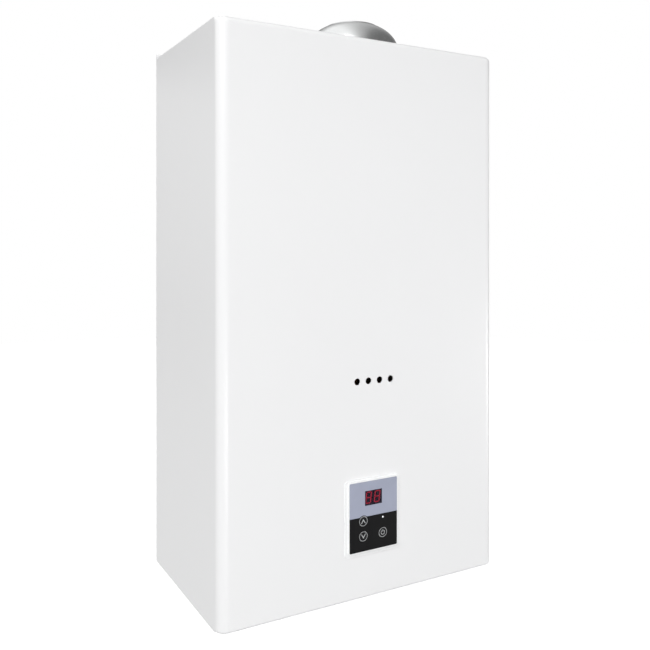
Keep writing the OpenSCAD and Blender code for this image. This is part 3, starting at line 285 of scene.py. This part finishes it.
def overlay_print():
    """The printed film: bluish grey above, black below, and a black disc round the key on the edge."""
    p = paint("overlay_print", rough=FILM_ROUGH, Specular_IOR_Level=FILM_SPECULAR)
    below = p.calc("LESS_THAN", p.axis("Z"), overlay_mid.z - PRINT_EDGE_DROP)
    in_disc = p.calc("LESS_THAN", p.radius("Y", up_mid.x, up_mid.z), KEY_DISC_R)
    black = p.calc("MAXIMUM", below, in_disc)
    cloud = p.spread(p.noise(60.0))
    grey_blue = p.blend(cloud, (0.375, 0.400, 0.500), (0.397, 0.423, 0.527))
    near_black = p.blend(cloud, (0.0065, 0.0065, 0.007), (0.008, 0.008, 0.0085))
    p.to("Base Color", p.blend(black, grey_blue, near_black))
    satin_film(p)


def key_black():
    p = paint("key_black", rough=FILM_ROUGH, Specular_IOR_Level=FILM_SPECULAR)
    p.shades(p.spread(p.noise(60.0)), 0.45, 0.55)
    satin_film(p)


def dark_lens():
    """The window is clear in the middle and printed black along its border, where it rests on its ledge."""
    p = paint("dark_lens", rough=0.1, color=(0.016, 0.010, 0.026), Specular_IOR_Level=0.15)
    p.shades(p.noise(80.0, detail=2.0), 0.8, 1.0)
    inward = []
    for name, mid, half in (("X", window_mid.x, window_half.x), ("Z", window_mid.z, window_half.z)):
        from_middle = p.calc("ABSOLUTE", p.calc("SUBTRACT", p.axis(name), mid))
        inward.append(p.calc("SUBTRACT", half, from_middle))
    border = p.calc("LESS_THAN", p.calc("MINIMUM", *inward), WINDOW_BORDER)
    p.to("Alpha", p.span(border, WINDOW_CLEAR_ALPHA, 1.0))
    p.to("Roughness", p.spread(p.noise(300.0, detail=2.0), 0.08, 0.13))


def red_light():
    p = paint("red_light", rough=0.4, color=(0.55, 0.02, 0.04))
    glow = p.spread(p.noise(900.0, detail=1.0))
    p.to("Emission Color", p.blend(glow, (0.70, 0.016, 0.045), (0.86, 0.026, 0.055)))
    p.put("Emission Strength", 1.5)
    p.to("Roughness", p.span(glow, 0.35, 0.5))


def lamp_light():
    """The indicator lamp is bright in its middle and fades towards its rim."""
    p = paint("lamp_light", rough=0.3)
    glow = p.span(p.radius("Y", lamp_mid.x, lamp_mid.z), 1.0, 0.0, LAMP_BRIGHT_R, LAMP_DARK_R)
    p.to("Emission Color", p.blend(glow, (0.05, 0.05, 0.055), (1.0, 1.0, 1.0)))
    p.put("Emission Strength", 0.9)
    p.to("Roughness", p.span(p.noise(700.0), 0.25, 0.4))


def board_green():
    """Circuit board: lacquer over faint copper runs and pads."""
    p = paint("board_green", rough=0.3, Coat_Weight=0.4, Coat_Roughness=0.1)
    run_edges = p.cells(260.0, p.stretched((1.0, 0.35, 1.0)), feature="DISTANCE_TO_EDGE", output="Distance")
    runs = p.calc("LESS_THAN", run_edges, 0.07)
    pads = p.calc("LESS_THAN", p.cells(330.0, output="Distance"), 0.2)
    copper_under = p.calc("MAXIMUM", runs, pads)
    p.to("Base Color", p.blend(copper_under, slot_color["board_green"], (0.07, 0.32, 0.15)))
    p.to("Roughness", p.spread(p.noise(500.0), 0.24, 0.4))
    p.bump(copper_under, strength=0.3, distance=0.00005)


def mica():
    """Mica: a thin sheet with flaky layers."""
    p = paint("mica", rough=0.2, Alpha=0.5, IOR=1.58)
    p.shades(p.spread(p.noise(70.0, detail=6.0, rough=0.7, distortion=1.5)), 0.75, 1.1)
    p.to("Roughness", p.spread(p.noise(200.0), 0.12, 0.3))
    p.bump(p.noise(160.0, detail=5.0, rough=0.7, distortion=2.0), strength=0.15, distance=0.0002)


for make in (white_enamel, white_plastic, overlay_print, key_black, dark_lens, red_light, lamp_light,
             board_green, mica):
    make()
simple("dark_plastic", 0.5, grain=1300.0, bump=(0.25, 0.00012), tone=(0.85, 1.15))
simple("coil_blue", 0.35, grain=900.0, bump=(0.1, 0.0001))
simple("sensor_green", 0.5, grain=1200.0, bump=(0.25, 0.00012), tone=(0.88, 1.1))
simple("rotor_white", 0.4, grain=800.0, bump=(0.08, 0.0001), tone=(0.96, 1.0))
simple("ceramic_white", 0.28, grain=700.0, bump=(0.1, 0.0001), tone=(0.94, 1.03), Coat_Weight=0.4)
simple("silicone", 0.62, grain=700.0, bump=(0.15, 0.0002), tone=(0.85, 1.12))
simple("red_silicone", 0.5, grain=700.0, tone=(0.85, 1.12))
simple("grey_cable", 0.5, grain=700.0, tone=(0.92, 1.06))
simple("display_black", 0.5, color=(0.006, 0.0045, 0.008), grain=1300.0, bump=(0.2, 0.0001),
       tone=(0.85, 1.15), Specular_IOR_Level=0.1)


# Metals
SPUN_LINES = 2600.0
HEAT_TINT_START_Z = -0.12
HEAT_TINT_END_Z = -0.09
TURNED_RINGS = 1500.0
THREAD_PITCH = 0.0018
THREAD_TOP_Z = -0.3
LAMINATION = 0.0005


def galvanised():
    """Galvanised sheet: each grain of zinc has its own tone and gloss."""
    p = paint("galvanised", rough=0.36, metallic=1.0)
    spangle = p.span(p.cells(95.0), 0.0, 1.0)
    cloud = p.spread(p.noise(14.0, detail=4.0))
    p.shades(p.mixture(spangle, 0.6, cloud), 0.86, 1.1)
    p.to("Roughness", p.span(spangle, 0.3, 0.46))
    p.bump(p.noise(700.0, detail=2.0), strength=0.06, distance=0.0001)


def flue_metal():
    """The collar is spun about its own upright axis, so its fine lines are circles."""
    p = paint("flue_metal", rough=0.3, metallic=1.0)
    outward = p.calc("MULTIPLY", p.radius("Z", flue_mid.x, flue_mid.y), SPUN_LINES)
    upward = p.calc("MULTIPLY", p.axis("Z"), SPUN_LINES)
    lines = p.noise(1.0, rough=0.7, vector=p.vector(X=outward, Y=upward))
    cloud = p.spread(p.noise(18.0))
    p.shades(p.mixture(lines, 0.5, cloud), 0.93, 1.06)
    p.to("Roughness", p.spread(lines, 0.16, 0.26))
    p.bump(lines, strength=0.05, distance=0.0001)


def burner_steel():
    """Stainless sheet rolled along X, with heat tint towards the flames."""
    p = paint("burner_steel", rough=0.4, metallic=1.0)
    brushed = p.noise(1.0, rough=0.6, vector=p.stretched((40.0, 1800.0, 1800.0)))
    near_flames = p.span(p.axis("Z"), 0.0, 1.0, HEAT_TINT_START_Z, HEAT_TINT_END_Z)
    heat = p.calc("MULTIPLY", near_flames, p.noise(24.0), clamp=True)
    tone = p.shades(p.spread(brushed), 0.86, 1.1)
    p.to("Base Color", p.blend(heat, tone, (0.42, 0.30, 0.20)))
    p.to("Roughness", p.spread(brushed, 0.32, 0.5))
    p.bump(brushed, strength=0.06, distance=0.0001)


def copper():
    """Copper with brown clouds and small brazing stains."""
    p = paint("copper", rough=0.34, metallic=1.0)
    cloud = p.span(p.noise(20.0, detail=5.0, rough=0.65, distortion=0.6), 0.0, 1.0, 0.35, 0.65)
    tone = p.shades(cloud, 0.78, 1.12)
    stain = p.span(p.noise(55.0, detail=4.0, rough=0.6), 0.0, 0.55, 0.58, 0.75)
    p.to("Base Color", p.blend(stain, tone, (0.33, 0.17, 0.12)))
    p.to("Roughness", p.spread(p.noise(160.0, detail=4.0), 0.26, 0.48))
    p.bump(p.noise(300.0), strength=0.08, distance=0.0002)


def brass():
    """Turned brass: rings along the upright axis, and the pitch of the pipe thread below the casing."""
    p = paint("brass", rough=0.3, metallic=1.0)
    z = p.axis("Z")
    rings = p.noise(1.0, detail=2.0, rough=0.6, vector=p.vector(Z=p.calc("MULTIPLY", z, TURNED_RINGS)))
    p.shades(p.mixture(rings, 0.4, p.noise(35.0, detail=4.0)), 0.85, 1.12)
    p.to("Roughness", p.spread(rings, 0.24, 0.4))
    pitch = p.calc("PINGPONG", p.calc("MULTIPLY", z, 1.0 / THREAD_PITCH), 0.5)
    thread = p.calc("MULTIPLY", pitch, p.calc("LESS_THAN", z, THREAD_TOP_Z))
    turned = p.bump(rings, strength=0.05, distance=0.0001)
    p.bump(thread, strength=0.9, distance=0.0011, under=turned)


def cast_aluminium():
    """Die-cast alloy with a pebbled skin."""
    p = paint("cast_aluminium", rough=0.5, metallic=1.0)
    skin = p.noise(520.0, detail=4.0, rough=0.6)
    p.shades(p.mixture(skin, 0.5, p.noise(25.0)), 0.84, 1.1)
    p.to("Roughness", p.spread(skin, 0.42, 0.6))
    p.bump(skin, strength=0.3, distance=0.0002)


def laminated_core():
    """Stacked steel sheets along the fan's axis, each one lamination thick."""
    p = paint("laminated_core", rough=0.45, metallic=1.0)
    sheets = p.calc("PINGPONG", p.calc("MULTIPLY", p.axis("Y"), 1.0 / LAMINATION), 0.5)
    p.shades(p.calc("ADD", sheets, p.calc("MULTIPLY", p.noise(60.0), 0.5)), 0.7, 1.15)
    p.to("Roughness", p.spread(p.noise(400.0), 0.36, 0.55))
    p.bump(sheets, strength=0.5, distance=0.0002)


simple("motor_steel", 0.38, metallic=0.4, grain=500.0, tone=(0.9, 1.08))
simple("zinc_screw", 0.3, metallic=1.0, cloud=120.0, tone=(0.88, 1.08), grain=1500.0, bump=(0.12, 0.00008))
for make in (galvanised, flue_metal, burner_steel, copper, brass, cast_aluminium, laminated_core):
    make()

# Each node takes its slot's material; the display's body is darker than the other dark plastics.
OWN_PAINT = {"display_module": "display_black"}
for subpart in frame["record"]["subparts"]:
    node = subpart["node"]
    chosen = paints[OWN_PAINT.get(node, subpart["material_slot"])]
    for slot in frame["nodes"][node].material_slots:
        slot.material = chosen.mat


# Marks on the keys
MARK_PROUD = 0.00004
MARK_DEEP = 0.00004
RING_OUTER_R = 0.00500
RING_INNER_R = 0.00455
RING_POINTS = 72
CHEVRON_HALF_W = 0.0028
CHEVRON_HALF_H = 0.00245
CHEVRON_STROKE = 0.001
CHEVRON_FOOT_SHARE = 1.43
CHEVRON_CROTCH_SHARE = 0.92
POWER_ARC_R = 0.0022
POWER_STROKE = 0.0006
POWER_GAP = math.radians(62)
POWER_ARC_STEPS = 48
POWER_BAR_BOTTOM = 0.0006
POWER_BAR_TOP = 0.0030


def key_mark():
    p = paint("key_mark", rough=0.45, color=(0.52, 0.53, 0.54))
    fine = p.noise(4200.0, rough=0.7)
    p.shades(p.spread(fine), 0.8, 1.1)
    p.to("Roughness", p.spread(fine, 0.4, 0.6))
    p.bump(fine, strength=0.15, distance=0.00004)


def ring_faces(bm, front, back):
    """The faces of a flat ring, whose front and back each have an outer and an inner row of points."""
    (front_out, front_in), (back_out, back_in) = front, back
    for k in range(len(front_out)):
        j = (k + 1) % len(front_out)
        bm.faces.new((front_out[k], front_out[j], front_in[j], front_in[k]))
        bm.faces.new((back_out[j], back_out[k], back_in[k], back_in[j]))
        bm.faces.new((front_out[j], front_out[k], back_out[k], back_out[j]))
        bm.faces.new((front_in[k], front_in[j], back_in[j], back_in[k]))


def plate_faces(bm, front, back):
    """The faces of a flat plate, from its front and back rows of points."""
    bm.faces.new(front)
    bm.faces.new(list(reversed(back)))
    for k in range(len(front)):
        j = (k + 1) % len(front)
        bm.faces.new((front[j], front[k], back[k], back[j]))


def flat_mark(name, shapes, node, body):
    """A thin printed mark on a key. Each shape is a closed outline, or an outline and its hole's outline."""
    face_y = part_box(node)[0].y
    centre = middle(node)
    bm = bmesh.new()

    def row(outline, y):
        return [bm.verts.new((centre.x + a, y, centre.z + b)) for a, b in outline]

    for outlines in shapes:
        front = [row(outline, face_y - MARK_PROUD) for outline in outlines]
        back = [row(outline, face_y + MARK_DEEP) for outline in outlines]
        if len(outlines) == 2:
            ring_faces(bm, front, back)
        else:
            plate_faces(bm, front[0], back[0])
    bmesh.ops.recalc_face_normals(bm, faces=bm.faces)
    mesh = bpy.data.meshes.new(name)
    bm.to_mesh(mesh)
    bm.free()
    mesh.materials.append(paints["key_mark"].mat)
    piece = bpy.data.objects.new(name, mesh)
    scene.collection.objects.link(piece)
    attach(piece, body)


def circle(radius):
    turns = [2 * math.pi * k / RING_POINTS for k in range(RING_POINTS)]
    return [(radius * math.cos(a), radius * math.sin(a)) for a in turns]


def chevron(sign):
    """An arrow head as one closed outline, up for sign 1 and down for -1. Its arms narrow to their feet."""
    w, h = CHEVRON_HALF_W, CHEVRON_HALF_H
    arm = math.hypot(w, 2 * h)
    foot = CHEVRON_FOOT_SHARE * CHEVRON_STROKE * w / arm
    crotch = CHEVRON_CROTCH_SHARE * CHEVRON_STROKE * arm / w
    points = [(-w, -h), (0, h), (w, -h), (w - foot, -h), (0, h - crotch), (-w + foot, -h)]
    return [(a, sign * b) for a, b in points]


def power_arc():
    """A ring with a gap at the top, as one closed outline."""
    first = math.radians(90) + POWER_GAP / 2
    last = math.radians(450) - POWER_GAP / 2
    turns = [first + (last - first) * k / POWER_ARC_STEPS for k in range(POWER_ARC_STEPS + 1)]
    outer_r = POWER_ARC_R + POWER_STROKE / 2
    inner_r = POWER_ARC_R - POWER_STROKE / 2
    outer = [(outer_r * math.cos(a), outer_r * math.sin(a)) for a in turns]
    inner = [(inner_r * math.cos(a), inner_r * math.sin(a)) for a in reversed(turns)]
    return outer + inner


def power_bar():
    half = POWER_STROKE / 2
    low, high = POWER_BAR_BOTTOM, POWER_BAR_TOP
    return [(-half, low), (half, low), (half, high), (-half, high)]


key_mark()
ring = (circle(RING_OUTER_R), circle(RING_INNER_R))
for node, body in (("key_up", "up_key"), ("key_down", "down_key"), ("key_power", "power_key")):
    flat_mark(node + "_ring", [ring], node, body)
flat_mark("key_up_arrow", [(chevron(1),)], "key_up", "up_key")
flat_mark("key_down_arrow", [(chevron(-1),)], "key_down", "down_key")
flat_mark("key_power_mark", [(power_arc(),), (power_bar(),)], "key_power", "power_key")


# World: white where it is seen or mirrored, a soft grey light on the object
WORLD_SEEN = 1.0
WORLD_SOFT = 0.40


def grey(level):
    return (level, level, level, 1.0)


def largest(tree, first, second):
    node = tree.nodes.new("ShaderNodeMath")
    node.operation = "MAXIMUM"
    tree.links.new(first, node.inputs[0])
    tree.links.new(second, node.inputs[1])
    return node.outputs[0]


def lit_or_seen(tree, output, lit, seen):
    """One shader for the rays that light the object, another for camera, glossy and transmission rays."""
    path = tree.nodes.new("ShaderNodeLightPath")
    direct = largest(tree, path.outputs["Is Camera Ray"], path.outputs["Is Glossy Ray"])
    direct = largest(tree, direct, path.outputs["Is Transmission Ray"])
    mix = tree.nodes.new("ShaderNodeMixShader")
    tree.links.new(direct, mix.inputs[0])
    tree.links.new(lit.outputs[0], mix.inputs[1])
    tree.links.new(seen.outputs[0], mix.inputs[2])
    tree.links.new(mix.outputs[0], tree.nodes.new(output).inputs[0])


def shader(tree, kind, color, strength=None):
    node = tree.nodes.new(kind)
    node.inputs["Color"].default_value = color
    if strength is not None:
        node.inputs["Strength"].default_value = strength
    return node


world = bpy.data.worlds.new("studio")
world.use_nodes = True
world.node_tree.nodes.clear()
scene.world = world
soft = shader(world.node_tree, "ShaderNodeBackground", grey(1.0), WORLD_SOFT)
white = shader(world.node_tree, "ShaderNodeBackground", grey(1.0), WORLD_SEEN)
lit_or_seen(world.node_tree, "ShaderNodeOutputWorld", soft, white)


# Lamps
def area(name, place, target, size, watts):
    """A rectangular lamp; size is its width and height."""
    data = bpy.data.lights.new(name, "AREA")
    data.shape = "RECTANGLE"
    data.size, data.size_y = size
    data.energy = watts
    lamp = bpy.data.objects.new(name, data)
    scene.collection.objects.link(lamp)
    lamp.location = place
    lamp.rotation_euler = (Vector(target) - Vector(place)).to_track_quat("-Z", "Y").to_euler()


area("key_light", (-2.3, -2.3, 2.0), target=(-0.1, -0.12, 0.0), size=(0.7, 0.7), watts=86.0)
area("front_fill", (-0.45, -2.1, -0.58), target=(0.1, -0.2, -0.28), size=(1.0, 0.3), watts=7.0)
area("right_fill", (2.6, -1.6, -0.5), target=(0.15, -0.2, -0.2), size=(1.2, 0.45), watts=18.0)
area("back_fill", (1.8, 3.2, 1.6), target=(0.05, 0.0, 0.0), size=(1.6, 1.6), watts=45.0)


# A tent round the heater, which only reflections see: bright on the left, dusky on the right and behind
TENT_R = 2.6
TENT_FOOT = math.radians(10)
TENT_SEGMENTS = 64
TENT_RINGS = 32
TENT_LEAN = 0.4
# Places as shares of the radius, and the strength of the glow there
TENT_LEVELS = [(-0.20, 1.2), (-0.08, 1.05), (0.04, 0.84), (0.20, 0.61), (0.38, 0.45), (0.52, 0.26),
               (0.75, 0.185)]
TENT_BACK_START = 0.55
TENT_BACK_END = 0.85
TENT_BACK_LEVEL = 0.22


def stage_piece(name, bm, place, material):
    """A mesh that belongs to the studio and not to the object."""
    mesh = bpy.data.meshes.new(name)
    bm.to_mesh(mesh)
    bm.free()
    mesh.materials.append(material)
    made = bpy.data.objects.new(name, mesh)
    made.location = place
    scene.collection.objects.link(made)
    return made


def tent_cloth():
    """Its glow falls from left to right along a line that leans back, and falls off again far behind."""
    p = Paint("tent", (0.0, 0.0, 0.0), 1.0, Specular_IOR_Level=0.0)
    y = p.axis("Y")
    across = p.calc("SUBTRACT", p.axis("X"), p.calc("MULTIPLY", y, TENT_LEAN))
    ramp = p.add("ShaderNodeValToRGB")
    p.link(p.span(across, 0.0, 1.0, -TENT_R, TENT_R), ramp.inputs[0])
    stops = ramp.color_ramp.elements
    while len(stops) < len(TENT_LEVELS):
        stops.new(0.5)
    for stop, (place, level) in zip(stops, TENT_LEVELS):
        stop.position = (place + 1) / 2
        stop.color = grey(level)
    behind = p.span(y, 1.0, TENT_BACK_LEVEL, TENT_BACK_START * TENT_R, TENT_BACK_END * TENT_R)
    p.to("Emission Color", p.blend(behind, (0.0, 0.0, 0.0), ramp.outputs[0]))
    p.put("Emission Strength", 1.0)
    return p.mat


bm = bmesh.new()
bmesh.ops.create_uvsphere(bm, u_segments=TENT_SEGMENTS, v_segments=TENT_RINGS, radius=TENT_R)
below_foot = [v for v in bm.verts if v.co.z < TENT_R * math.sin(TENT_FOOT)]
bmesh.ops.delete(bm, geom=below_foot, context="VERTS")
tent = stage_piece("tent", bm, flue_mid, tent_cloth())
tent.visible_camera = False
tent.visible_diffuse = False
tent.visible_shadow = False
tent.visible_transmission = False


# Floor: white where it is seen or mirrored, with the object's shadow on it, and a plain grey for light
FLOOR_R = 6.0
FLOOR_SIDES = 96
FLOOR_Z = -0.75
FLOOR_LIT_GREY = 0.3
FLOOR_SEEN_GREY = 0.5
FLOOR_SEEN_GLOW = 0.82


def floor_paint():
    material = bpy.data.materials.new("floor")
    material.use_nodes = True
    tree = material.node_tree
    tree.nodes.clear()
    plain = shader(tree, "ShaderNodeBsdfDiffuse", grey(FLOOR_LIT_GREY))
    shown = tree.nodes.new("ShaderNodeAddShader")
    shadowed = shader(tree, "ShaderNodeBsdfDiffuse", grey(FLOOR_SEEN_GREY))
    glow = shader(tree, "ShaderNodeEmission", grey(1.0), FLOOR_SEEN_GLOW)
    tree.links.new(shadowed.outputs[0], shown.inputs[0])
    tree.links.new(glow.outputs[0], shown.inputs[1])
    lit_or_seen(tree, "ShaderNodeOutputMaterial", plain, shown)
    return material


bm = bmesh.new()
bmesh.ops.create_circle(bm, cap_ends=True, segments=FLOOR_SIDES, radius=FLOOR_R)
stage_piece("floor", bm, (0, 0, FLOOR_Z), floor_paint())

scene.view_settings.view_transform = "Standard"
